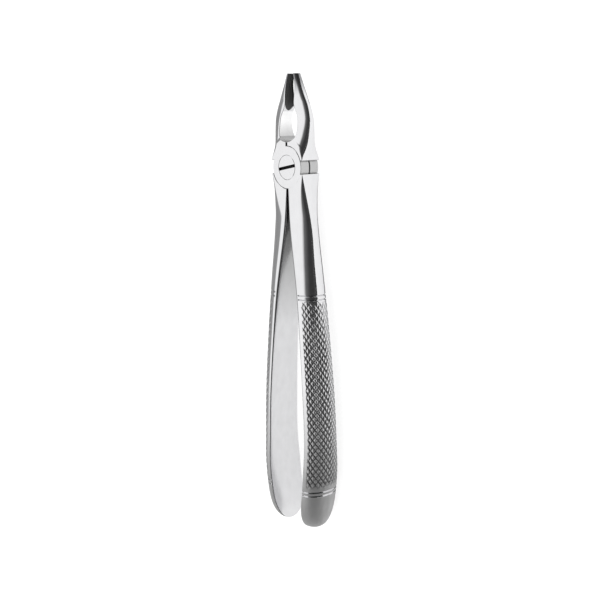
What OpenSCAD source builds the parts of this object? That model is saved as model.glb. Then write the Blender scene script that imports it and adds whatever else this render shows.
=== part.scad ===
// Straight dental extraction forceps with a lap joint: two forged halves and a pivot screw.
// X is the opening direction, Y runs along the instrument towards the tips of the beaks, and
// Z is the pivot axis, upwards through the slotted head of the screw. The origin is on the
// pivot axis, in the flat back face of the joint. Each half is the other one turned half a
// turn about the long axis, so one half is drawn and used twice.

/* [Overall] */
// Length of the beaks, from the pivot to the tips
beak_l = 34.5; // [33:0.5:37]
// Length of the handles, from the pivot to their ends
handle_l = 141; // [130:0.5:150]

/* [Joint] */
// Width across the shoulders of the joint
joint_w = 17; // [16.8:0.1:18]
// Thickness of the joint along the pivot axis
joint_t = 8.8; // [8:0.1:9.6]
// Radius of each lap disc
disc_r = 7.9; // [7.6:0.05:7.9]
// Radius of the flat faces above the lap discs
boss_r = 10.3; // [10:0.1:10.6]
// Height of a shoulder of the beaks above the pivot
beak_shoulder = 2.6; // [2.4:0.1:2.8]
// Depth of a shoulder of the handles below the pivot
handle_shoulder = 2.4; // [2.4:0.1:2.8]
// Width of the slit between the beaks above the lap discs
slit_w = 0.8; // [0.8:0.05:1]

/* [Screw] */
// Diameter of the flush screw head
head_d = 9.2; // [8.4:0.1:9.6]
// Height of the screw head
head_h = 1.8; // [1.5:0.1:2.2]
// Diameter of the plain shank that the front half turns on
shank_d = 6; // [5.4:0.1:6.6]
// Diameter of the threaded end
thread_d = 5; // [4:0.1:5.2]
// Width of the driver slot
slot_w = 1.2; // [0.8:0.1:1.4]
// Depth of the driver slot
slot_depth = 1; // [0.6:0.1:1.2]
// Angle of the driver slot to the opening direction
slot_angle = 10; // [0:5:90]

/* [Beaks] */
// Widest opening of the eye between the beaks
eye_w = 9.8; // [9:0.1:10.4]
// Distance between the gripping edges at their middle
grip_gap = 5; // [4.6:0.1:5.2]
// Distance between the tips
tip_gap = 2.7; // [2.6:0.1:3]
// Width of each tip along the pivot axis
tip_w = 3.2; // [2.4:0.1:3.4]
// Depth of the hollow in each gripping face
hollow_d = 0.7; // [0.4:0.1:0.9]

/* [Handles] */
// Widest distance between the flat inner faces of the handles
palm_gap = 19.8; // [18:0.2:22]
// Distance between the inner faces at the ends of the handles
end_gap = 12; // [10:0.2:14]
// Thickness of each handle in the palm
palm_t = 6.8; // [6.2:0.1:7.6]
// Width of each handle at its upper rings, along the pivot axis
ring_w = 12.2; // [11.4:0.1:13]
// Width of each handle at its widest place, along the pivot axis
palm_w = 16.2; // [15:0.1:17]

/* [Hidden] */

half_t = joint_t/2;
half_w = joint_w/2;
lap_gap = 0.1;        // between the two lap discs
rim_gap = 0.15;       // around the rim of a lap disc
rim_chamfer = 0.3;    // where the rims of the two lap discs meet
turn_gap = 0.05;      // around the head and the shank, a running fit
seat_gap = 0.02;      // around the threaded end and under the shank
edge_chamfer = 0.15;  // on the screw
cut = 1;              // how far a cutting solid passes a face
round_fn = 96;

// A smooth curve through [place, value] points: a cubic between each pair, whose slope at a
// point is the slope between its two neighbours.
function slope_at(line, i) =
    let (a = line[max(i - 1, 0)], b = line[min(i + 1, len(line) - 1)])
    (b[1] - a[1])/(b[0] - a[0]);
function span_of(line, at, i = 0) =
    (i >= len(line) - 2 || at < line[i + 1][0]) ? i : span_of(line, at, i + 1);
function smooth(line, at) =
    let (i = span_of(line, at),
         a = line[i],
         b = line[i + 1],
         step = b[0] - a[0],
         u = min(max((at - a[0])/step, 0), 1))
    a[1]*(1 - u)*(1 - u)*(1 + 2*u) + b[1]*u*u*(3 - 2*u)
    + step*(slope_at(line, i)*u*(1 - u)*(1 - u) - slope_at(line, i + 1)*u*u*(1 - u));

// The handle, as lines of [distance below the pivot, value]. It starts just inside its block.
handle_start = 8.6;
block_inset = 0.1;  // of the first rings of a handle and a beak, inside their blocks
// From the plane of symmetry to the flat inner face:
handle_inner = [[handle_start, slit_w/2 + block_inset], [0.16*handle_l, 1.2],
                [0.35*handle_l, 0.28*palm_gap], [0.57*handle_l, 0.44*palm_gap],
                [0.75*handle_l, palm_gap/2], [0.87*handle_l, 0.46*palm_gap],
                [handle_l, end_gap/2]];
// From the flat inner face to the crown of the outer face:
handle_thick = [[handle_start, half_w - slit_w/2 - 2*block_inset], [0.16*handle_l, 1.32*palm_t],
                [0.26*handle_l, 1.2*palm_t], [0.35*handle_l, 1.1*palm_t],
                [0.62*handle_l, palm_t], [handle_l, 0.97*palm_t]];
// Half of the width along the pivot axis:
handle_half_w = [[handle_start, half_t - block_inset], [0.16*handle_l, 0.41*ring_w],
                 [0.35*handle_l, ring_w/2], [0.61*handle_l, 0.44*palm_w],
                 [0.75*handle_l, 0.46*palm_w], [0.84*handle_l, palm_w/2],
                 [handle_l, 0.48*palm_w]];
// How far the rounding of an outer edge reaches over the front, as a part of what the inner
// edge leaves of the thickness:
handle_round_in = [[handle_start, 0.2], [0.1*handle_l, 0.5], [0.16*handle_l, 0.86],
                   [0.26*handle_l, 0.95], [0.36*handle_l, 0.97], [handle_l, 0.97]];
// How far it reaches down the side, as a part of the half width:
handle_round_down = [[handle_start, 0.4], [0.16*handle_l, 0.88], [0.26*handle_l, 0.94],
                     [handle_l, 0.94]];
// Radius of an inner edge:
handle_inner_r = [[handle_start, 0.2], [0.16*handle_l, 0.8], [0.35*handle_l, 1], [handle_l, 1]];
handle_end_from = 0.91*handle_l;   // the rounded end starts here
tip_cap = 0.2;                     // how far short of its full rounding it is cut off flat

// The beak, as lines of [distance above the pivot, value]. It starts just inside its block.
beak_start = 8.3;
beak_flank = 10;           // its flank is fully round from here on
eye_r = eye_w/2;
eye_low = 9.4;             // bottom of the eye
eye_y = eye_low + eye_r;   // its lower half is round about this height
eye_wall_gap = 0.1;        // between a block and the faces of the beak over it
// From the plane of symmetry to the inner face, above the middle of the eye:
beak_inner = [[eye_y, eye_r], [0.47*beak_l, 0.99*eye_r], [0.55*beak_l, 0.91*eye_r],
              [0.615*beak_l, 0.66*eye_r], [0.68*beak_l, 0.49*grip_gap],
              [0.77*beak_l, grip_gap/2], [0.88*beak_l, 0.46*grip_gap], [beak_l, tip_gap/2]];
// From the plane of symmetry to the back of the beak:
beak_back = [[beak_start, half_w + 0.1], [0.34*beak_l, half_w + 0.7],
             [0.49*beak_l, half_w + 1], [0.57*beak_l, half_w + 0.6], [0.66*beak_l, 8.1],
             [0.74*beak_l, 6.8], [0.86*beak_l, 4.9], [beak_l, tip_gap/2 + 1.7]];
// Half of the width along the pivot axis:
beak_half_w = [[beak_start, 0.95*half_t], [0.31*beak_l, 0.82*half_t], [0.43*beak_l, 0.72*half_t],
               [0.54*beak_l, 2.85], [0.66*beak_l, 2.5], [0.77*beak_l, 2.25],
               [0.89*beak_l, 1.9], [beak_l, tip_w/2]];
// How far the rounding of an edge of the back reaches over the front:
beak_round_in = [[beak_start, 1.6], [beak_flank, 2.4], [0.4*beak_l, 3.4], [0.57*beak_l, 3.9],
                 [0.68*beak_l, 3.9], [0.8*beak_l, 2.6], [0.9*beak_l, 1.6], [beak_l, 0.6]];
// How far it reaches down the side, as a part of the half width:
beak_round_down = [[beak_start, 0.8], [beak_flank, 0.9], [0.4*beak_l, 0.94], [beak_l, 0.94]];
// Depth of the hollow along the gripping face:
beak_hollow = [[0, 0], [0.6*beak_l, 0], [0.66*beak_l, 0.6*hollow_d], [0.74*beak_l, hollow_d],
               [0.9*beak_l, 0.8*hollow_d], [beak_l, 0.4*hollow_d]];
beak_inner_r = 0.15;

// Steps of angle round a quarter of an outer edge and of an inner edge, at a ring of a loft.
OUTER_STEPS = [0, 18, 36, 54, 72, 90];
INNER_STEPS = [0, 45, 90];

// One quarter of a ring: the inner edge and then the outer edge of the front, as [x, z].
function ring_front(inner, thick, half, inner_r, in, down) = concat(
    [for (a = INNER_STEPS) [inner + inner_r*(1 - cos(a)), half - inner_r*(1 - sin(a))]],
    [for (a = OUTER_STEPS) [inner + thick - in*(1 - sin(a)), half - down*(1 - cos(a))]]);

// A closed ring at one place along the instrument, the same at the front and at the back, from
// the crown of the back round to it again. The hollow is sunk into the inner face between the
// inner edges.
function ring(y, inner, thick, half, inner_r, in, down, hollow) =
    let (front = ring_front(inner, thick, half, inner_r, in, down),
         last = len(front) - 1,
         reach = half - inner_r)
    concat([for (i = [last:-1:0]) [front[i][0], y, -front[i][1]]],
           [for (k = [-1:1]) [inner + hollow*(1 - k*k/4), y, reach*k/2]],
           [for (p = front) [p[0], y, p[1]]]);

// The solid through a list of rings that all have the same number of points.
module loft(rings) {
    size = len(rings[0]);
    last = len(rings) - 1;
    points = [for (r = rings) each r];
    sides = [for (i = [0:last - 1], k = [0:size - 1])
             let (a = i*size + k, b = i*size + (k + 1) % size)
             each [[a, a + size, b], [b, a + size, b + size]]];
    first_cap = [for (k = [0:size - 1]) k];
    last_cap = [for (k = [size - 1:-1:0]) last*size + k];
    polyhedron(points = points, faces = concat([first_cap], sides, [last_cap]));
}

// The rounded end narrows as a quarter of a squared-off ellipse. past is 0 where it starts, and
// nearly 1 at the small flat that closes it.
function end_past(d) =
    max(0, (d - handle_end_from)/(handle_l + tip_cap - handle_end_from));
function end_width(d) = pow(1 - pow(end_past(d), 2.4), 1/2.3);
function end_thick(d) = pow(1 - pow(end_past(d), 5), 1/3);

function handle_ring(d) =
    let (thick = smooth(handle_thick, d)*end_thick(d),
         half = smooth(handle_half_w, d)*end_width(d),
         inner_r = min(smooth(handle_inner_r, d), 0.35*half, 0.35*thick))
    ring(-d, smooth(handle_inner, d), thick, half, inner_r,
         smooth(handle_round_in, d)*(thick - inner_r), smooth(handle_round_down, d)*half, 0);

// Handle on the right side, below its block.
module handle() {
    straight_rings = 18;
    end_rings = 7;
    straight = handle_end_from - handle_start;
    round_l = handle_l - handle_end_from;
    places = concat(
        [for (i = [0:straight_rings]) handle_start + straight*i/straight_rings],
        [for (i = [1:end_rings]) handle_end_from + round_l*sin(90*i/end_rings)]);
    loft([for (i = [len(places) - 1:-1:0]) handle_ring(places[i])]);
}

// The inner face of a beak: beside the slit, round the lower half of the eye, then as listed.
function beak_inner_at(d) =
    d >= eye_y ? smooth(beak_inner, d)
    : max(slit_w/2 + block_inset, sqrt(max(0, pow(eye_r, 2) - pow(eye_y - d, 2))));
function beak_ring(d) =
    let (inner = beak_inner_at(d), half = smooth(beak_half_w, d))
    ring(d, inner, smooth(beak_back, d) - inner, half, beak_inner_r,
         smooth(beak_round_in, d), smooth(beak_round_down, d)*half, smooth(beak_hollow, d));

// Beak on the right side, above its block, with rings close together round the bottom of the
// eye.
module beak() {
    eye_steps = 7;
    upper_rings = 13;
    first_angle = asin((slit_w/2 + block_inset)/eye_r);
    places = concat([beak_start],
                    [for (i = [0:eye_steps - 1])
                     eye_y - eye_r*cos(first_angle + (90 - first_angle)*i/eye_steps)],
                    [for (i = [0:upper_rings]) eye_y + (beak_l - eye_y)*i/upper_rings]);
    loft([for (d = places) beak_ring(d)]);
}

// Block on the right side between the shoulder and the beak: the flat faces of the joint, whose
// round edge steps down to the beak, and a thinner layer out to the side of the beak.
module beak_block() {
    side_t = 0.7*joint_t;
    side_lap = 0.7;  // how far the thinner layer goes into the beak
    side_top = beak_start + side_lap;
    difference() {
        union() {
            intersection() {
                cylinder(h = joint_t, r = boss_r, center = true, $fn = round_fn);
                translate([slit_w/2, beak_shoulder, -joint_t])
                    cube([half_w - slit_w/2, boss_r, 2*joint_t]);
            }
            translate([half_w/2, beak_shoulder, -side_t/2])
                cube([half_w/2 - eye_wall_gap, side_top - beak_shoulder, side_t]);
        }
        translate([0, eye_y, -joint_t])
            cylinder(h = 2*joint_t, r = eye_r + eye_wall_gap, $fn = round_fn);
    }
}

// Block on the right side between the shoulder and the handle.
module handle_block() {
    block_end = 9;
    translate([slit_w/2, -block_end, -half_t])
        cube([half_w - slit_w/2, block_end - handle_shoulder, joint_t]);
}

// Lap disc that fills the front layer of the joint, with a chamfer on the lapped edge.
module lap_disc() {
    low = lap_gap/2;
    rotate_extrude($fn = round_fn)
        polygon([[0, low], [disc_r - rim_chamfer, low], [disc_r, low + rim_chamfer],
                 [disc_r, half_t], [0, half_t]]);
}

// The middle of a half: its front lap disc and the blocks of its left beak and right handle,
// with room behind the disc for the other half's disc.
module joint_core() {
    difference() {
        union() {
            handle_block();
            mirror([1, 0, 0]) beak_block();
        }
        translate([0, 0, -half_t - cut])
            cylinder(h = half_t + cut + lap_gap/2, r = disc_r + rim_gap, $fn = round_fn);
    }
    lap_disc();
}

module front_half() {
    color("silver")
    translate([0, 0, half_t]) {
        difference() {
            joint_core();
            cylinder(h = half_t + cut, r = shank_d/2 + turn_gap, $fn = round_fn);
            translate([0, 0, half_t - head_h - turn_gap])
                cylinder(h = head_h + cut, r = head_d/2 + turn_gap, $fn = round_fn);
        }
        handle();
        mirror([1, 0, 0]) beak();
    }
}

module rear_half() {
    color("silver")
    translate([0, 0, half_t])
    rotate([0, 180, 0]) {
        difference() {
            joint_core();
            cylinder(h = half_t + cut, r = thread_d/2 + seat_gap, $fn = round_fn);
        }
        handle();
        mirror([1, 0, 0]) beak();
    }
}

module pivot_screw() {
    neck_z = joint_t - head_h;
    shank_z = half_t - lap_gap/2 + seat_gap;
    color("lightgray")
    difference() {
        rotate_extrude($fn = round_fn)
            polygon([[0, 0], [thread_d/2 - edge_chamfer, 0], [thread_d/2, edge_chamfer],
                     [thread_d/2, shank_z], [shank_d/2, shank_z], [shank_d/2, neck_z],
                     [head_d/2, neck_z], [head_d/2, joint_t - edge_chamfer],
                     [head_d/2 - edge_chamfer, joint_t], [0, joint_t]]);
        rotate([0, 0, slot_angle])
            translate([-head_d, -slot_w/2, joint_t - slot_depth])
            cube([2*head_d, slot_w, slot_depth + cut]);
    }
}

front_half();
rear_half();
pivot_screw();
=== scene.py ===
"""Straight dental extraction forceps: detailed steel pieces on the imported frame.

Shapes are worked out in millimetres, in the frame of one half: X is the opening direction, Y
runs towards the tips of the beaks, and Z is the pivot axis, from the middle plane of the joint.
Each half has its beak on the left and its handle on the right. The rear half is the same shape
turned half a turn about Y.
"""
import math

import bmesh
import bpy
from mathutils import Matrix, Vector
from mathutils.kdtree import KDTree


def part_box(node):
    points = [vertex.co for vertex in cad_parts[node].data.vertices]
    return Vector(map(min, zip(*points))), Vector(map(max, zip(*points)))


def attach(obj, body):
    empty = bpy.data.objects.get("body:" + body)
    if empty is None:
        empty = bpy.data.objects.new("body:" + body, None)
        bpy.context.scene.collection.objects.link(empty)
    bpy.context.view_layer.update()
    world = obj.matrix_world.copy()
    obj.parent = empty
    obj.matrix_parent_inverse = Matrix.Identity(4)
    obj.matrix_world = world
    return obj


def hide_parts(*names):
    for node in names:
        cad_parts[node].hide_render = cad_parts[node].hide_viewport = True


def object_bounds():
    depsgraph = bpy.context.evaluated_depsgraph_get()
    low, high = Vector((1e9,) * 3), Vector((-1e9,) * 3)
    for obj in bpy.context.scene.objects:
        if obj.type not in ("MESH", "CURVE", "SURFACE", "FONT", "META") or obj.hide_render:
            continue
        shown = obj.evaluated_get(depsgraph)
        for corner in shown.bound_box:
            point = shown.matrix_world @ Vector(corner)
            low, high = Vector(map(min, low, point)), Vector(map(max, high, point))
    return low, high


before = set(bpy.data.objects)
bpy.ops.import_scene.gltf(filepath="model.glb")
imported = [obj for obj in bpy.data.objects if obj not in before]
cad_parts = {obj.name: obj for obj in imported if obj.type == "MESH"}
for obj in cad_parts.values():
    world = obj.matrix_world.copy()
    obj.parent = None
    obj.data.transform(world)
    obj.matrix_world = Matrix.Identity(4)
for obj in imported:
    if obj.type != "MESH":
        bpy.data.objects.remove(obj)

MM = 0.001
cad_low, cad_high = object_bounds()
half_low, half_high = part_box("front_half")

# Driving sizes, from the frame where it gives them.
beak_l = half_high.y / MM
handle_l = -half_low.y / MM
palm_w = (half_high.z - half_low.z) / MM - 0.04  # width of the palm, just inside the CAD solid
joint_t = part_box("pivot_screw")[1].z / MM
head_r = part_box("pivot_screw")[1].x / MM
joint_w = 17  # across its shoulders
disc_r = 7.9  # of each lap disc
boss_r = 10.3  # of the flat faces above the lap discs
beak_shoulder = 2.6  # its height above the pivot
handle_shoulder = 2.4  # its depth below the pivot
slit_w = 0.8  # between the beaks, above the lap discs
eye_w = 9.8
grip_gap = 5  # between the gripping edges at their middle
tip_gap = 2.7
tip_w = 3.2  # along the pivot axis
hollow_d = 0.7  # of the hollow in each gripping face
palm_gap = 19.8  # between the inner faces of the handles, at its widest
end_gap = 12  # between them at their ends
palm_t = 6.78  # thickness of each handle in the palm
ring_w = 12.2  # width of each handle at its upper rings
thread_r = 2.5
shank_r = 3
head_h = 1.8
slot_w = 1.2
slot_depth = 1
slot_angle = 10

half_t = joint_t / 2
half_w = joint_w / 2
eye_r = eye_w / 2
eye_square = 2.4  # 2 makes the lower half of the eye round, and more makes it squarer
eye_low = 9.4
eye_y = eye_low + eye_r
eye_top = 0.6 * beak_l
eye_corner = 2.1  # height of the corner of painted shade at the bottom of the eye
lap_gap = 0.1  # between the two lap discs
rim_gap = 0.15  # round each lap disc
turn_gap = 0.05  # round the screw
edge_r = 0.12  # bevel on machined edges
disc_bevel = 0.3  # bevel on the inner edge of a lap disc
shoulder_r = 0.25  # rounding on the shoulders of the joint
axis_r = 0.01  # how close to its axis a turned profile ends
cutter_past = 1  # how far a hole's cutter runs past the steel
round_steps = 128  # sides of a turned shape
sharp_angle = math.radians(38)  # an edge sharper than this shows as a crease
near = 0.1  # a face this near to a surface counts as being on it

# Sections of the handle, as lines of [distance below the pivot, value].
handle_start = 8.6

# From the middle plane of the instrument to the inner face.
handle_inner = [
    [handle_shoulder, slit_w / 2], [handle_start, slit_w / 2 + 0.1], [0.16 * handle_l, 1.2],
    [0.35 * handle_l, 0.28 * palm_gap], [0.57 * handle_l, 0.44 * palm_gap],
    [0.75 * handle_l, palm_gap / 2], [0.87 * handle_l, 0.46 * palm_gap],
    [handle_l, end_gap / 2]]

# From the inner face to the crown.
handle_thick = [
    [handle_shoulder, half_w - slit_w / 2], [handle_start, half_w - slit_w / 2 - 0.1],
    [0.16 * handle_l, 1.32 * palm_t], [0.26 * handle_l, 1.2 * palm_t],
    [0.35 * handle_l, 1.1 * palm_t], [0.62 * handle_l, palm_t], [handle_l, 0.97 * palm_t]]

# Half of the width along the pivot axis.
handle_half_w = [
    [handle_shoulder, half_t], [handle_start, half_t], [0.16 * handle_l, 0.41 * ring_w],
    [0.35 * handle_l, ring_w / 2], [0.61 * handle_l, 0.44 * palm_w],
    [0.75 * handle_l, 0.46 * palm_w], [0.84 * handle_l, palm_w / 2],
    [handle_l, 0.48 * palm_w]]

# How far the rounding of the crown reaches inwards, as a share of the thickness.
handle_round_in = [
    [handle_shoulder, 0.02], [handle_start, 0.25], [0.1 * handle_l, 0.55], [0.13 * handle_l, 0.82],
    [0.16 * handle_l, 0.85], [0.26 * handle_l, 0.88], [0.4 * handle_l, 0.94], [handle_l, 0.97]]

# How far the rounding of the crown comes down from the front, as a share of the half width.
handle_round_down = [
    [handle_shoulder, 0.02], [handle_start, 0.45], [0.16 * handle_l, 0.84],
    [0.26 * handle_l, 0.87], [0.4 * handle_l, 0.94], [handle_l, 0.94]]

# Radius of the inner edges.
handle_inner_r = [
    [handle_shoulder, 0.1], [handle_start, 0.25], [0.16 * handle_l, 1], [0.35 * handle_l, 1],
    [0.5 * handle_l, 0.6], [handle_l, 0.45]]

# Angle in degrees at which the rounding of the crown meets the front.
handle_crease = [
    [handle_shoulder, 0], [handle_start, 0], [0.13 * handle_l, 5], [0.19 * handle_l, 8],
    [0.32 * handle_l, 8], [0.45 * handle_l, 3], [0.6 * handle_l, 0], [handle_l, 0]]

# The rounded end of the handle, as the two powers of a superellipse: 2 and 2 make a circle.
handle_end_from = 0.91 * handle_l
handle_end_thick = [5, 3]
handle_end_wide = [2.4, 2.3]
handle_end_last = 0.9999  # it stops just short of a point
inner_r_most = 0.35  # greatest inner_r, as a share of the thickness or of the half width

# Points on the inner face, its rounded edge, the flat front, the rounding and the crown.
handle_counts = [8, 8, 8, 72, 4]
beak_counts = [24, 5, 30, 40, 6]

# Ring grooves and knurling on the crowned faces of the handle.
groove_places = [47.8, 49.4, 124.3, 125.8]
groove_half_w = 0.32
groove_depth = 0.5
groove_fade = 0.5  # a ring groove has its whole depth this far from the inner edges
knurl_from = 50.6
knurl_to = 123.2
knurl_along = 2.75  # length of a diamond
knurl_around = 2  # width of a diamond
knurl_depth = 0.4
knurl_half_w = 0.5  # half of the width of a knurl groove
knurl_light = 0.8  # depth of the lighter family of grooves, as a part of the other's
knurl_rise = [knurl_from - 1, knurl_from + 0.6]  # where the knurling begins
knurl_fall = [knurl_to - 2.5, knurl_to]  # where it ends
knurl_margin = [1.4, 2.3]  # where it begins beside each inner edge, past a smooth strip
knurl_shallow = 0.6  # share of its depth that it has at its upper end
knurl_full = knurl_from + 20  # where it has its whole depth

# Sections of the beak, as lines of [distance above the pivot, value].
# From the middle plane of the instrument to the inner face, above the middle of the eye.
beak_inner = [
    [eye_y, eye_r], [0.47 * beak_l, 0.99 * eye_r], [0.55 * beak_l, 0.91 * eye_r],
    [0.615 * beak_l, 0.66 * eye_r], [0.68 * beak_l, 0.49 * grip_gap],
    [0.77 * beak_l, grip_gap / 2], [0.88 * beak_l, 0.46 * grip_gap], [beak_l, tip_gap / 2]]

# From the middle plane of the instrument to the back.
beak_back = [
    [beak_shoulder, half_w], [6.5, half_w], [0.34 * beak_l, half_w + 0.7],
    [0.49 * beak_l, half_w + 1], [0.57 * beak_l, half_w + 0.6], [0.66 * beak_l, 8.1],
    [0.74 * beak_l, 6.8], [0.86 * beak_l, 4.9], [beak_l, tip_gap / 2 + 1.7]]

# Half of the width along the pivot axis.
beak_half_w = [
    [beak_shoulder, half_t], [4, half_t], [8.3, 0.97 * half_t], [0.31 * beak_l, 0.9 * half_t],
    [0.43 * beak_l, 0.74 * half_t], [0.54 * beak_l, 2.85], [0.66 * beak_l, 2.6],
    [0.77 * beak_l, 2.35], [0.89 * beak_l, 1.9], [beak_l, tip_w / 2]]

# How far the rounding of the back reaches inwards.
beak_round_in = [
    [beak_shoulder, 0.1], [4, 0.6], [6, 1.8], [8.3, 3], [11, 3.8], [0.4 * beak_l, 3.8],
    [0.57 * beak_l, 4.2], [0.68 * beak_l, 4.3], [0.8 * beak_l, 4], [0.9 * beak_l, 2.5],
    [beak_l, 1.4]]

# How far the rounding of the back comes down from the front, as a share of the half width.
beak_round_down = [
    [beak_shoulder, 0.02], [4, 0.2], [6, 0.6], [8.3, 0.85], [10, 0.92], [0.6 * beak_l, 0.94],
    [beak_l, 0.9]]

# Depth of the hollow in the gripping face.
beak_hollow = [
    [0, 0], [0.6 * beak_l, 0], [0.66 * beak_l, 0.6 * hollow_d], [0.74 * beak_l, hollow_d],
    [0.9 * beak_l, 0.8 * hollow_d], [beak_l, 0.4 * hollow_d]]

# Angle in degrees at which the rounding of the back meets the front.
beak_crease = [
    [0, 0], [5, 0], [7, 8], [11, 28], [0.5 * beak_l, 28], [0.66 * beak_l, 6],
    [0.8 * beak_l, 6], [0.9 * beak_l, 25], [beak_l, 40]]

# Shape of the rounding: an ellipse at 2, and squarer above that.
beak_square = [
    [0, 2], [7, 2], [11, 2.5], [0.5 * beak_l, 2.5], [0.66 * beak_l, 2], [0.85 * beak_l, 1.9],
    [beak_l, 1.5]]

beak_inner_r = 0.2
beak_rim = 0.6  # least width of the flat part of the front, with its inner rounding
tip_flat = 0.3  # length of the tip, of which the end is rounded off
tip_r = 0.2
tip_shrink = 0.12  # share of its size that a tip loses in its rounding
hollow_low = 0.61 * beak_l  # where the painted shade in the gripping hollow starts
hollow_bend = 0.35  # how its lower edge bends up towards its sides
serration_pitch = 0.6
serration_depth = 0.07
serration_rise = [0.62 * beak_l, 0.66 * beak_l]  # where the serrations begin

# How far the flat face of the boss takes to run down to the beak, near the slit and further
# out, and where it changes from the one to the other.
boss_fade = [1.8, 0.6]
boss_fade_x = [3.5, 6.5]

# Where the steel's colour and roughness change, from and to, as distances below the pivot.
tip_darkening = [-26.5, -32]
grip_finish = [knurl_from + 30, knurl_to]
palm_shade_span = [30, 62]
eye_shade_span = [-17, -10]
noise_span = [0.3, 0.7]  # nearly all of a noise's values lie between these
clouding = [0.8, 1.25, 0.96]  # least and most roughness, and darkest colour, as shares
end_clouding = [0.9, 1.1, 0.94]  # the same for what the steel changes to
grain_depth = 0.02
groove_roughness = 0.5
tent_light = 1.1  # brightness of the light tent for all but reflections

# Cards on the table. They show only in reflections.
card_reach = 1500
card_far = 2000
card_under = 0.05  # how far the long cards lie under the shades
black_card_from = 45
grey_card_to = -19
shade_step = 4  # distance between the places that a shade goes through
shade_inset = [3.5, 0.6]  # from the handle's inner face and from its crown
left_shade_from = 60  # it starts this far below the pivot
left_shade_w = 60
left_shade_inset = 2
beak_shade = [[25, 2.5, 8], [beak_l, 0, 4]]  # its places, as [y, low x, high x]


def slope_at(line, i):
    """Slope of the smooth curve at one of its points."""
    before = line[max(i - 1, 0)]
    after = line[min(i + 1, len(line) - 1)]
    return (after[1] - before[1]) / (after[0] - before[0])


def smooth(line, at):
    """A smooth curve through [place, value] points, read at a place."""
    i = 0
    while i < len(line) - 2 and at >= line[i + 1][0]:
        i += 1
    step = line[i + 1][0] - line[i][0]
    u = min(max((at - line[i][0]) / step, 0), 1)
    v = 1 - u
    return (line[i][1] * v * v * (1 + 2 * u) + line[i + 1][1] * u * u * (3 - 2 * u)
            + step * (slope_at(line, i) * u * v * v - slope_at(line, i + 1) * u * u * v))


def ease(low, high, at):
    """0 below low, 1 above high, and smooth between them."""
    u = min(max((at - low) / (high - low), 0), 1)
    return u * u * (3 - 2 * u)


def spread(start, end, count):
    """count places from start, evenly spaced, without the end."""
    return [start + (end - start) * i / count for i in range(count)]


def front_outline(inner, thick, half, inner_r, reach, drop, counts, crease=0, square=2):
    """Half of a section: from the middle of the inner face, over the front, to the crown.

    The rounding is an ellipse at a square of 2, and squarer above that. Its first part, up to
    the crease in degrees, is left out, so that it meets the front at an angle. The counts are
    the numbers of points on each stretch.
    """
    face, edge, flat, outer, side = counts
    points = [(inner, z) for z in spread(0, half - inner_r, face)]
    for a in spread(0, math.pi / 2, edge):
        points.append((inner + inner_r * (1 - math.cos(a)), half - inner_r * (1 - math.sin(a))))
    points += [(x, half) for x in spread(inner + inner_r, inner + thick - reach, flat)]
    first = math.radians(max(crease, 0))
    power = 2 / square
    for a in spread(first, math.pi / 2, outer):
        back_x = reach * (1 - math.sin(a) ** power) / (1 - math.sin(first) ** power)
        down_z = drop * (1 - (math.cos(a) / math.cos(first)) ** power)
        points.append((inner + thick - back_x, half - down_z))
    points += [(inner + thick, z) for z in spread(half - drop, 0, side)]
    points.append((inner + thick, 0))
    return points


def outward(points, i):
    """Unit normal of an outline at a point, away from the steel."""
    before = points[max(i - 1, 0)]
    after = points[min(i + 1, len(points) - 1)]
    dx, dz = after[0] - before[0], after[1] - before[1]
    if i in (0, len(points) - 1):
        dx = 0
    size = math.hypot(dx, dz) or 1
    return -dz / size, dx / size


def closed_ring(points, y):
    """The whole section at y, from its front half."""
    back = [(x, -z) for x, z in points[-2:0:-1]]
    return [(x, y, z) for x, z in points + back]


def crown_distances(points):
    """Distance round the outline from the crown to each point."""
    distances = [0]
    for i in range(len(points) - 1, 0, -1):
        distances.append(distances[-1] + math.dist(points[i], points[i - 1]))
    return distances[::-1]


def crossing_grooves(around, along):
    """Depth of the two crossing families of knurl grooves, from 0 to 1. One cuts less deep."""
    deepest = 0
    spacing = knurl_around * knurl_along / math.hypot(knurl_around, knurl_along)
    for direction, share in ((1, 1), (-1, knurl_light)):
        turns = around / knurl_around + direction * along / knurl_along
        away = abs(turns - round(turns)) * spacing
        deepest = max(deepest, share * (1 - min(away / knurl_half_w, 1)))
    return deepest


def ring_groove(inside, along):
    """Depth of the ring grooves, from 0 to 1."""
    deepest = max(1 - abs(along - place) / groove_half_w for place in groove_places)
    return max(deepest, 0) * ease(0, groove_fade, inside)


def knurl_groove(around, inside, along):
    """Depth of the knurling, from 0 to 1. It fades out at its ends and beside the inner edges."""
    if not knurl_rise[0] < along < knurl_fall[1]:
        return 0
    fade = ease(*knurl_rise, along) * (1 - ease(*knurl_fall, along))
    fade *= knurl_shallow + (1 - knurl_shallow) * ease(knurl_from, knurl_full, along)
    fade *= ease(*knurl_margin, inside)
    return fade * crossing_grooves(around, along)


def end_share(d, powers):
    """Share of its size that the handle has at d below the pivot: less than 1 in its end."""
    past = min(max((d - handle_end_from) / (handle_l - handle_end_from), 0), handle_end_last)
    return (1 - past ** powers[0]) ** (1 / powers[1])


grip_points = []  # [point, share of the knurl's depth] on the handle being made


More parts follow.
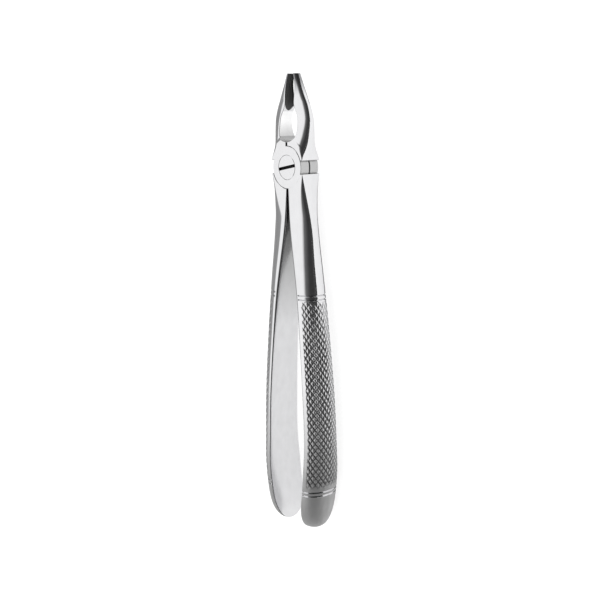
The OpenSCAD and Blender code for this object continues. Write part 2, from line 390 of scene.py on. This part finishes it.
def handle_ring(d):
    """Section of the handle at d below the pivot, with the grip cut into its crowned face."""
    thick = smooth(handle_thick, d) * end_share(d, handle_end_thick)
    half = smooth(handle_half_w, d) * end_share(d, handle_end_wide)
    inner_r = min(smooth(handle_inner_r, d), inner_r_most * half, inner_r_most * thick)
    reach = smooth(handle_round_in, d) * (thick - inner_r)
    drop = smooth(handle_round_down, d) * half
    points = front_outline(smooth(handle_inner, d), thick, half, inner_r, reach, drop,
                           handle_counts, smooth(handle_crease, d))
    distances = crown_distances(points)
    edge = distances[sum(handle_counts[:2])]
    ring = []
    for i, (x, z) in enumerate(points):
        inside = edge - distances[i]
        share = knurl_groove(distances[i], inside, d)
        depth = groove_depth * ring_groove(inside, d) + knurl_depth * share
        nx, nz = outward(points, i)
        ring.append((x - nx * depth, z - nz * depth))
        grip_points.append(((ring[i][0], -d, ring[i][1]), share))
        grip_points.append(((ring[i][0], -d, -ring[i][1]), share))
    return closed_ring(ring, -d)


def mark_groove_shade(piece):
    """Stores how deep each point of the grip lies, from 0 to 1, for the painted shade in its
    grooves.
    """
    tree = KDTree(len(grip_points))
    for i, (point, _) in enumerate(grip_points):
        tree.insert(point, i)
    tree.balance()
    depths = []
    for vertex in piece.data.vertices:
        on_grip = vertex.co.y < -groove_places[0] * MM
        depths.append(grip_points[tree.find(vertex.co / MM)[1]][1] if on_grip else 0)
    piece.data.attributes.new("groove", "FLOAT", "POINT").data.foreach_set("value", depths)


def beak_inner_at(d):
    """Inner face of a beak: beside the slit, round the lower half of the eye, then as listed."""
    if d >= eye_y:
        return smooth(beak_inner, d)
    down = min((eye_y - d) / eye_r, 1)
    return max(slit_w / 2, eye_r * (1 - down ** eye_square) ** (1 / eye_square))


def beak_ring(d):
    """Section of the beak at d above the pivot, on the right side."""
    inner = beak_inner_at(d)
    half = smooth(beak_half_w, d)
    thick = smooth(beak_back, d) - inner
    reach = min(smooth(beak_round_in, d), thick - beak_rim)
    drop = smooth(beak_round_down, d) * half
    points = front_outline(inner, thick, half, beak_inner_r, reach, drop, beak_counts,
                           smooth(beak_crease, d), smooth(beak_square, d))
    hollow = smooth(beak_hollow, d)
    ring = []
    for i, (x, z) in enumerate(points):
        on_inner_face = i < beak_counts[0]
        if on_inner_face:
            share = z / (half - beak_inner_r)
            wave = 0.5 - 0.5 * math.cos(2 * math.pi * z / serration_pitch)
            x += hollow * (1 - share * share)
            x += serration_depth * wave * ease(*serration_rise, d) * (1 - share ** 6)
        else:
            fade = boss_fade[0] + (boss_fade[1] - boss_fade[0]) * ease(*boss_fade_x, x)
            lift = 1 - ease(0, fade, math.hypot(x, d) - boss_r)
            z *= 1 + (half_t / half - 1) * lift
        ring.append((x, z))
    return closed_ring(ring, d)


def shoulder_rings(section, at, direction):
    """Rings that round off a handle or a beak at its shoulder, from the smallest one on.

    The section is the function that makes them, and the direction is 1 above the pivot.
    """
    rings = []
    for a in (0, 22.5, 45, 67.5, 90):
        inset = shoulder_r * (1 - math.cos(math.radians(a)))
        place = at + shoulder_r * (1 - math.sin(math.radians(a)))
        ring = section(place)
        count = len(ring)
        moved = []
        for i, (x, y, z) in enumerate(ring):
            before, after = ring[i - 1], ring[(i + 1) % count]
            dx, dz = after[0] - before[0], after[2] - before[2]
            size = math.hypot(dx, dz) or 1
            moved.append((x + dz / size * inset, direction * place, z - dx / size * inset))
        rings.append(moved)
    return rings[::-1]


def loft(name, rings):
    """A closed mesh object through rings that all have the same number of points."""
    mesh = bmesh.new()
    made = [[mesh.verts.new((x * MM, y * MM, z * MM)) for x, y, z in ring] for ring in rings]
    count = len(rings[0])
    for low, high in zip(made, made[1:]):
        for k in range(count):
            mesh.faces.new((low[k], low[(k + 1) % count], high[(k + 1) % count], high[k]))
    mesh.faces.new(made[0][::-1])
    mesh.faces.new(made[-1])
    bmesh.ops.recalc_face_normals(mesh, faces=mesh.faces)
    return new_object(name, mesh)


def lathe(name, profile):
    """A closed mesh object turned round Z from [radius, height] points, with its ends near Z."""
    mesh = bmesh.new()
    rings = []
    for k in range(round_steps):
        a = 2 * math.pi * k / round_steps
        rings.append([mesh.verts.new((r * math.cos(a) * MM, r * math.sin(a) * MM, z * MM))
                      for r, z in profile])
    for k, ring in enumerate(rings):
        after = rings[(k + 1) % round_steps]
        for i in range(len(profile) - 1):
            mesh.faces.new((ring[i], after[i], after[i + 1], ring[i + 1]))
    mesh.faces.new([ring[0] for ring in rings][::-1])
    mesh.faces.new([ring[-1] for ring in rings])
    bmesh.ops.recalc_face_normals(mesh, faces=mesh.faces)
    return new_object(name, mesh)


def new_object(name, mesh):
    """An object in the scene with this mesh, which is used up."""
    data = bpy.data.meshes.new(name)
    mesh.to_mesh(data)
    mesh.free()
    made = bpy.data.objects.new(name, data)
    bpy.context.scene.collection.objects.link(made)
    return made


def combine(base, other, operation):
    """Applies a boolean of other to base, and removes other."""
    modifier = base.modifiers.new("cut", "BOOLEAN")
    modifier.object = other
    modifier.operation = operation
    modifier.solver = "MANIFOLD"
    ready = base.evaluated_get(bpy.context.evaluated_depsgraph_get())
    data = bpy.data.meshes.new_from_object(ready)
    base.modifiers.clear()
    base.data = data
    bpy.data.objects.remove(other)


def handle_places():
    """Places of the handle's rings: close together where the grip is."""
    near_grip = knurl_from - 4
    spans = [
        (handle_shoulder + 2 * shoulder_r, near_grip, 90), (near_grip, knurl_from, 40),
        (knurl_from, knurl_to, 380), (knurl_to, handle_end_from, 40)]
    places = [place for span in spans for place in spread(*span)]
    length = handle_l - handle_end_from
    places += [handle_end_from + length * math.sin(math.radians(a)) for a in range(0, 90, 3)]
    places.append(handle_l)
    return places


def handle():
    """Handle on the right side, up to its shoulder."""
    rings = shoulder_rings(handle_ring, handle_shoulder, -1)
    rings += [handle_ring(d) for d in handle_places()]
    return loft("handle", rings)


def beak():
    """Beak on the left side, down to its shoulder."""
    first = math.asin(slit_w / 2 / eye_r)
    places = spread(beak_shoulder + 2 * shoulder_r, eye_low, 48)
    places += [eye_y - eye_r * math.cos(a) for a in spread(first, math.pi / 2, 40)]
    places += spread(eye_y, beak_l - tip_flat, 110)
    rings = shoulder_rings(beak_ring, beak_shoulder, 1)
    rings += [beak_ring(d) for d in places]
    for a in (0, 30, 60, 90):
        last = beak_ring(beak_l - tip_r * (1 - math.sin(math.radians(a))))
        middle = sum(p[0] for p in last) / len(last)
        shrink = 1 - tip_shrink * (1 - math.cos(math.radians(a)))
        rings.append([(middle + (x - middle) * shrink, y, z * shrink) for x, y, z in last])
    rings = [[(-x, y, z) for x, y, z in ring] for ring in rings]
    return loft("beak", rings)


def lap_disc():
    """The disc of a half, which lies flat against the other half's."""
    low = lap_gap / 2
    return lathe("disc", [
        (axis_r, low), (disc_r - disc_bevel, low), (disc_r, low + disc_bevel),
        (disc_r, half_t - edge_r), (disc_r - edge_r, half_t), (axis_r, half_t)])


def clearance():
    """The room that a half leaves for the other half's lap disc."""
    high = lap_gap / 2
    wide = disc_r + rim_gap
    return lathe("clearance", [
        (axis_r, high), (wide, high), (wide, edge_r - half_t),
        (wide + 2 * edge_r, -half_t - edge_r), (axis_r, -half_t - edge_r)])


def bore(radius, recess_r=0):
    """A hole through the lap disc, with room for the screw's head if recess_r is given."""
    profile = [(axis_r, -cutter_past), (radius, -cutter_past)]
    if recess_r:
        floor = half_t - head_h - turn_gap
        profile += [(radius, floor), (recess_r, floor), (recess_r, half_t - edge_r / 2),
                    (recess_r + edge_r, half_t + edge_r / 2)]
    profile += [(profile[-1][0], half_t + cutter_past), (axis_r, half_t + cutter_past)]
    return lathe("bore", profile)


def make_half(name, hole):
    """One half, with its own hole for the screw."""
    grip_points.clear()
    half = handle()
    combine(half, beak(), "UNION")
    combine(half, lap_disc(), "UNION")
    combine(half, clearance(), "DIFFERENCE")
    combine(half, hole, "DIFFERENCE")
    mark_groove_shade(half)
    half.name = name
    half.data.name = name
    return half


def finish_piece(piece, move, body, node):
    piece.data.transform(move)
    piece.data.polygons.foreach_set("use_smooth", [True] * len(piece.data.polygons))
    piece.data.set_sharp_from_angle(angle=sharp_angle)
    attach(piece, body)
    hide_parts(node)


def screw():
    """The pivot screw: threaded end, plain shank and flush slotted head."""
    neck = joint_t - head_h
    seat = half_t
    piece = lathe("screw", [
        (axis_r, 0), (thread_r - edge_r, 0), (thread_r, edge_r), (thread_r, seat),
        (shank_r, seat), (shank_r, neck), (head_r, neck), (head_r, joint_t - edge_r),
        (head_r - edge_r, joint_t), (axis_r, joint_t)])
    slot = bmesh.new()
    bmesh.ops.create_cube(slot, size=1)
    size = Matrix.Diagonal((3 * head_r * MM, slot_w * MM, 2 * slot_depth * MM, 1))
    turn = Matrix.Rotation(math.radians(slot_angle), 4, "Z")
    bmesh.ops.transform(slot, matrix=Matrix.Translation((0, 0, joint_t * MM)) @ turn @ size,
                        verts=slot.verts)
    combine(piece, new_object("slot", slot), "DIFFERENCE")
    piece.name = "pivot_screw_steel"
    return piece


def node_tree(material):
    """The nodes of a material, with its Principled BSDF ready."""
    material.use_nodes = True
    return material.node_tree


def noise(tree, place, scale, stretch, detail):
    """Soft noise over a piece, with its scale multiplied by the stretch along Y."""
    mapping = tree.nodes.new("ShaderNodeMapping")
    mapping.inputs["Scale"].default_value = (scale, scale * stretch, scale)
    tree.links.new(place.outputs["Object"], mapping.inputs["Vector"])
    texture = tree.nodes.new("ShaderNodeTexNoise")
    texture.inputs["Scale"].default_value = 1
    texture.inputs["Detail"].default_value = detail
    tree.links.new(mapping.outputs["Vector"], texture.inputs["Vector"])
    return texture.outputs["Fac"]


def ranged(tree, value, start, stop, low=0, high=1):
    """What goes from low to high while the value goes from start to stop."""
    node = tree.nodes.new("ShaderNodeMapRange")
    node.inputs["From Min"].default_value = start
    node.inputs["From Max"].default_value = stop
    node.inputs["To Min"].default_value = low
    node.inputs["To Max"].default_value = high
    tree.links.new(value, node.inputs["Value"])
    return node.outputs["Result"]


def mixed(tree, kind, first, second, share):
    """The first value or colour where the share is 0, and the second where it is 1."""
    node = tree.nodes.new("ShaderNodeMix")
    node.data_type = kind
    # A Mix node lists its inputs for each kind of value, and only those of this kind are on.
    for letter, value in (("A", first), ("B", second)):
        socket = next(i for i in node.inputs if i.name == letter and i.enabled)
        if isinstance(value, bpy.types.NodeSocket):
            tree.links.new(value, socket)
        else:
            socket.default_value = value
    tree.links.new(share, next(i for i in node.inputs if i.name == "Factor" and i.enabled))
    return next(o for o in node.outputs if o.enabled)


def opaque(colour, share=1):
    """A colour with its alpha, darkened to a share of itself."""
    return (*[part * share for part in colour], 1)


def clouded(tree, clouds, roughness, colour, shares):
    """A roughness and a colour that change a little from cloud to cloud."""
    least, most, darkest = shares
    rough = ranged(tree, clouds, *noise_span, roughness * least, roughness * most)
    shade = ranged(tree, clouds, *noise_span)
    return rough, mixed(tree, "RGBA", opaque(colour, darkest), opaque(colour), shade)


def steel(name, roughness, grain, colour, end=None, groove_shade_colour=None):
    """Stainless steel with fine drawn grain and faint clouding.

    An end is [start, stop, roughness, colour]: the colour and roughness change to it between those
    distances below the pivot. A groove colour is painted shade, which it turns to where the grip's
    grooves are deep.
    """
    material = bpy.data.materials.new(name)
    tree = node_tree(material)
    shader = tree.nodes["Principled BSDF"]
    shader.inputs["Metallic"].default_value = 1
    place = tree.nodes.new("ShaderNodeTexCoord")
    clouds = noise(tree, place, scale=400, stretch=0.6, detail=3)
    brushed = noise(tree, place, scale=9000, stretch=0.06, detail=2)
    rough, tint = clouded(tree, clouds, roughness, colour, clouding)
    if end:
        start, stop, end_roughness, end_colour = end
        split = tree.nodes.new("ShaderNodeSeparateXYZ")
        tree.links.new(place.outputs["Object"], split.inputs["Vector"])
        along = ranged(tree, split.outputs["Y"], -start * MM, -stop * MM)
        end_rough, end_tint = clouded(tree, clouds, end_roughness, end_colour, end_clouding)
        rough = mixed(tree, "FLOAT", rough, end_rough, along)
        tint = mixed(tree, "RGBA", tint, end_tint, along)
    # Painted shade: the grip darkens towards the groove colour where its knurl grooves are deep.
    if groove_shade_colour:
        groove = tree.nodes.new("ShaderNodeAttribute")
        groove.attribute_name = "groove"
        rough = mixed(tree, "FLOAT", rough, groove_roughness, groove.outputs["Fac"])
        tint = mixed(tree, "RGBA", tint, opaque(groove_shade_colour), groove.outputs["Fac"])
    tree.links.new(rough, shader.inputs["Roughness"])
    tree.links.new(tint, shader.inputs["Base Color"])
    bump = tree.nodes.new("ShaderNodeBump")
    bump.inputs["Strength"].default_value = grain
    bump.inputs["Distance"].default_value = grain_depth * MM
    tree.links.new(brushed, bump.inputs["Height"])
    tree.links.new(bump.outputs["Normal"], shader.inputs["Normal"])
    return material


def lit_surface(name, grey, brightness):
    """A matt surface that is lit from inside, as a table for product photographs is."""
    material = bpy.data.materials.new(name)
    shader = node_tree(material).nodes["Principled BSDF"]
    shader.inputs["Base Color"].default_value = (grey, grey, grey, 1)
    shader.inputs["Roughness"].default_value = 0.9
    shader.inputs["Specular IOR Level"].default_value = 0
    shader.inputs["Emission Color"].default_value = (1, 1, 1, 1)
    shader.inputs["Emission Strength"].default_value = brightness
    return material


def make_floor():
    """The table, just under the instrument."""
    mesh = bmesh.new()
    bmesh.ops.create_grid(mesh, x_segments=1, y_segments=1, size=3)
    floor = new_object("floor", mesh)
    floor.location.z = cad_low.z - 0.1 * MM
    floor.data.materials.append(lit_surface("light_table", grey=0.45, brightness=0.72))


def make_card(name, edges, brightness, under=0):
    """A card on the table that shows only in reflections, through [y, low x, high x] places.

    It lies a distance of under, in millimetres, below the lowest point of the instrument.
    """
    mesh = bmesh.new()
    made = [[mesh.verts.new((x * MM, y * MM, 0)) for x in (low_x, high_x)]
            for y, low_x, high_x in edges]
    for below, above in zip(made, made[1:]):
        mesh.faces.new((below[0], below[1], above[1], above[0]))
    card = new_object(name, mesh)
    card.location.z = cad_low.z - under * MM
    card.data.materials.append(lit_surface(name, grey=0, brightness=brightness))
    card.visible_camera = False
    card.visible_diffuse = False
    card.visible_shadow = False


def long_card(low_x, high_x):
    """Places of a card that runs along the whole table."""
    return [(-card_reach, low_x, high_x), (card_reach, low_x, high_x)]


def shade_under_handle():
    """Places of the shade that the right handle casts on the table under its outer side."""
    places = []
    for d in range(int(handle_l) - shade_step, shade_step, -shade_step):
        inner = smooth(handle_inner, d)
        crown = inner + smooth(handle_thick, d)
        places.append((-d, inner + shade_inset[0], crown - shade_inset[1]))
    return places


def shade_beside_handle():
    """Places of the shade on the table beside the left handle."""
    places = []
    for d in range(int(handle_l), left_shade_from, -shade_step):
        crown = smooth(handle_inner, d) + smooth(handle_thick, d)
        places.append((-d, -crown - left_shade_w, -crown + left_shade_inset))
    return places


def make_world():
    """A light tent. In reflections it is dark on the camera's side, white above and grey behind."""
    world = bpy.data.worlds.new("light_tent")
    bpy.context.scene.world = world
    world.use_nodes = True
    tree = world.node_tree
    nodes, links = tree.nodes, tree.links
    place = nodes.new("ShaderNodeTexCoord")
    split = nodes.new("ShaderNodeSeparateXYZ")
    links.new(place.outputs["Generated"], split.inputs["Vector"])
    angle = nodes.new("ShaderNodeMath")
    angle.operation = "ARCTAN2"
    links.new(split.outputs["Z"], angle.inputs[0])
    links.new(split.outputs["X"], angle.inputs[1])
    turn = ranged(tree, angle.outputs["Value"], 0, math.pi)
    ramp = nodes.new("ShaderNodeValToRGB")
    # [degrees from the right-hand horizon, over the top, to the left-hand one, brightness]
    stops = [(0, 0.09), (1, 0.08), (3, 0.07), (16, 0.045), (44, 0.045), (58, 0.09), (75, 0.18),
             (88, 1.1), (100, 1.15), (141, 1.15), (149, 0.38), (180, 0.32)]
    brightest = max(value for _, value in stops)
    elements = ramp.color_ramp.elements
    while len(elements) < len(stops):
        elements.new(1)
    for element, (degrees, value) in zip(elements, stops):
        element.position = degrees / 180
        element.color = (*[value / brightest] * 3, 1)
    links.new(turn, ramp.inputs["Fac"])
    background = nodes["Background"]
    background.inputs["Strength"].default_value = brightest
    links.new(ramp.outputs["Color"], background.inputs["Color"])
    plain = nodes.new("ShaderNodeBackground")
    plain.inputs["Color"].default_value = (1, 1, 1, 1)
    plain.inputs["Strength"].default_value = tent_light
    mix = nodes.new("ShaderNodeMixShader")
    path = nodes.new("ShaderNodeLightPath")
    links.new(path.outputs["Is Glossy Ray"], mix.inputs["Fac"])
    links.new(plain.outputs["Background"], mix.inputs[1])
    links.new(background.outputs["Background"], mix.inputs[2])
    links.new(mix.outputs["Shader"], nodes["World Output"].inputs["Surface"])


# The camera looks down at the right side of the instrument, which stands upright in its view.
camera_side = math.radians(41.67)  # its elevation above the floor
camera_distance = 394.6
camera_y = 20.06
camera_aim = (0.739, -51.057)  # across the view and along the instrument
camera_roll = math.radians(-1.098)
camera_lens = 62.33


def make_camera():
    """The photograph's view."""
    data = bpy.data.cameras.new("camera")
    data.lens = camera_lens
    data.sensor_width = 36
    data.clip_start = 0.01
    camera = bpy.data.objects.new("camera", data)
    bpy.context.scene.collection.objects.link(camera)
    place = Vector((camera_distance * math.cos(camera_side), camera_y,
                    camera_distance * math.sin(camera_side) + half_t))
    across = Vector((math.sin(camera_side), 0, -math.cos(camera_side)))
    target = Vector((0, camera_aim[1], half_t)) + across * camera_aim[0]
    forward = (target - place).normalized()
    right = forward.cross(Vector((0, 1, 0))).normalized()
    up = right.cross(forward)
    rotation = Matrix((right, up, -forward)).transposed().to_4x4()
    camera.matrix_world = (Matrix.Translation(place * MM) @ rotation
                           @ Matrix.Rotation(camera_roll, 4, "Z"))
    bpy.context.scene.camera = camera


def paint(piece, materials, choose):
    """Gives each face of a piece the material that choose(face) returns."""
    piece.data.materials.clear()
    for material in materials:
        piece.data.materials.append(material)
    for face in piece.data.polygons:
        face.material_index = materials.index(choose(face))


def half_material(face):
    """The finish of a face of a half, with painted shade or light on some faces.

    A part of a normal is 1 or -1 where the face looks straight along that axis.
    """
    x, y, z = face.center / MM
    normal = face.normal
    upright = abs(normal.z) < 0.3
    on_crown = normal.x > 0.02 or abs(normal.z) > 0.6 or normal.y < -0.5
    in_ring = any(abs(y + place) < groove_half_w for place in groove_places)
    if y < -groove_places[1] and on_crown and not in_ring:
        return grip
    # Painted shade: the palms darken towards the joint, where the handles face each other.
    on_palm = y < -handle_start and normal.x < -0.9
    if on_palm:
        return ground_with_shade
    # Painted shade: the undersides of the shoulders and the rims of the lap discs are darker.
    by_shoulder = abs(y) < handle_shoulder + 1 and abs(x) > disc_r - 0.5
    on_rim = abs(math.hypot(x, y) - disc_r) < near and upright
    if (by_shoulder and abs(normal.y) > 0.8) or on_rim:
        return milled_with_shade
    # Painted light and shade in the eye: lighter at its top, darker towards its bottom, and painted
    # shade in its lowest corner.
    in_eye = eye_low - near < y < eye_top and abs(x) < eye_r + near and upright
    if in_eye:
        return ground_with_shade if y < eye_low + eye_corner else eye
    # Painted shade in the gripping hollows of the beaks.
    in_hollow = y > hollow_low + hollow_bend * z * z and normal.x > 0.5
    return hollow_shade if in_hollow else polished


def screw_material(face):
    """The finish of a face of the screw, with painted shade inside the driver slot."""
    x, y, z = face.center / MM
    in_head = z > joint_t - slot_depth - near and math.hypot(x, y) < head_r - near
    on_top = z > joint_t - near and abs(face.normal.z) > 0.5
    return slot_shade if in_head and not on_top else turned


# The finishes of the pieces, each with its roughness, the strength of its grain and its colour.
# Some colours are painted shade or light, as noted at each.
# Darker and rougher towards the tips of the beaks.
polished = steel("polished_steel", 0.08, 0.25, (0.74, 0.74, 0.75),
                 [*tip_darkening, 0.2, (0.3, 0.3, 0.31)])
# The grip's groove colour is painted shade in its knurl grooves.
grip = steel("grip_steel", 0.1, 0.3, (0.76, 0.76, 0.77),
             [*grip_finish, 0.8, (0.58, 0.58, 0.58)], (0.07, 0.07, 0.07))
# The inner faces of the handles: ground steel, with painted shade that darkens them towards the
# joint. The eye's lowest corner has this painted shade too.
ground_with_shade = steel("ground_steel_painted_shade", 0.15, 0.3, (0.4, 0.4, 0.4),
               [*palm_shade_span, 0.12, (0.7, 0.7, 0.71)])
turned = steel("screw_steel", 0.1, 0.2, (0.74, 0.74, 0.75))
# Painted light at the top of the eye that fades to painted shade towards its bottom.
eye = steel("eye_painted_light_and_shade", 0.15, 0.3, (0.95, 0.95, 0.95),
            [*eye_shade_span, 0.15, (0.5, 0.5, 0.5)])
# Painted shade in the gripping hollows of the beaks.
hollow_shade = steel("hollow_painted_shade", 0.4, 0.6, (0.07, 0.07, 0.07))
# Painted shade on the undersides of the shoulders and the rims of the lap discs, which are milled.
milled_with_shade = steel("milled_steel_painted_shade", 0.3, 0.6, (0.5, 0.5, 0.5))
# Painted shade inside the screw's driver slot.
slot_shade = steel("slot_painted_shade", 0.5, 0.6, (0.012, 0.012, 0.012))
half_finishes = [polished, grip, hollow_shade, milled_with_shade, ground_with_shade, eye]
screw_finishes = [turned, slot_shade]

to_front = Matrix.Translation((0, 0, half_t * MM))
to_rear = to_front @ Matrix.Rotation(math.pi, 4, "Y")

front = make_half("front_half_steel", bore(shank_r + turn_gap, head_r + turn_gap))
paint(front, half_finishes, half_material)
finish_piece(front, to_front, "front", "front_half")

rear = make_half("rear_half_steel", bore(thread_r + turn_gap))
paint(rear, half_finishes, half_material)
finish_piece(rear, to_rear, "rear", "rear_half")

pin = screw()
paint(pin, screw_finishes, screw_material)
finish_piece(pin, Matrix.Identity(4), "rear", "pivot_screw")

make_floor()
make_card("black_card", long_card(black_card_from, card_far), brightness=0.05, under=card_under)
make_card("grey_card", long_card(-card_far, grey_card_to), brightness=0.4, under=card_under)
make_card("shade_right", shade_under_handle(), brightness=0.25)
make_card("shade_left", shade_beside_handle(), brightness=0.12)
make_card("shade_beaks", beak_shade, brightness=0.35)
make_world()
make_camera()
bpy.context.scene.view_settings.view_transform = "Standard"
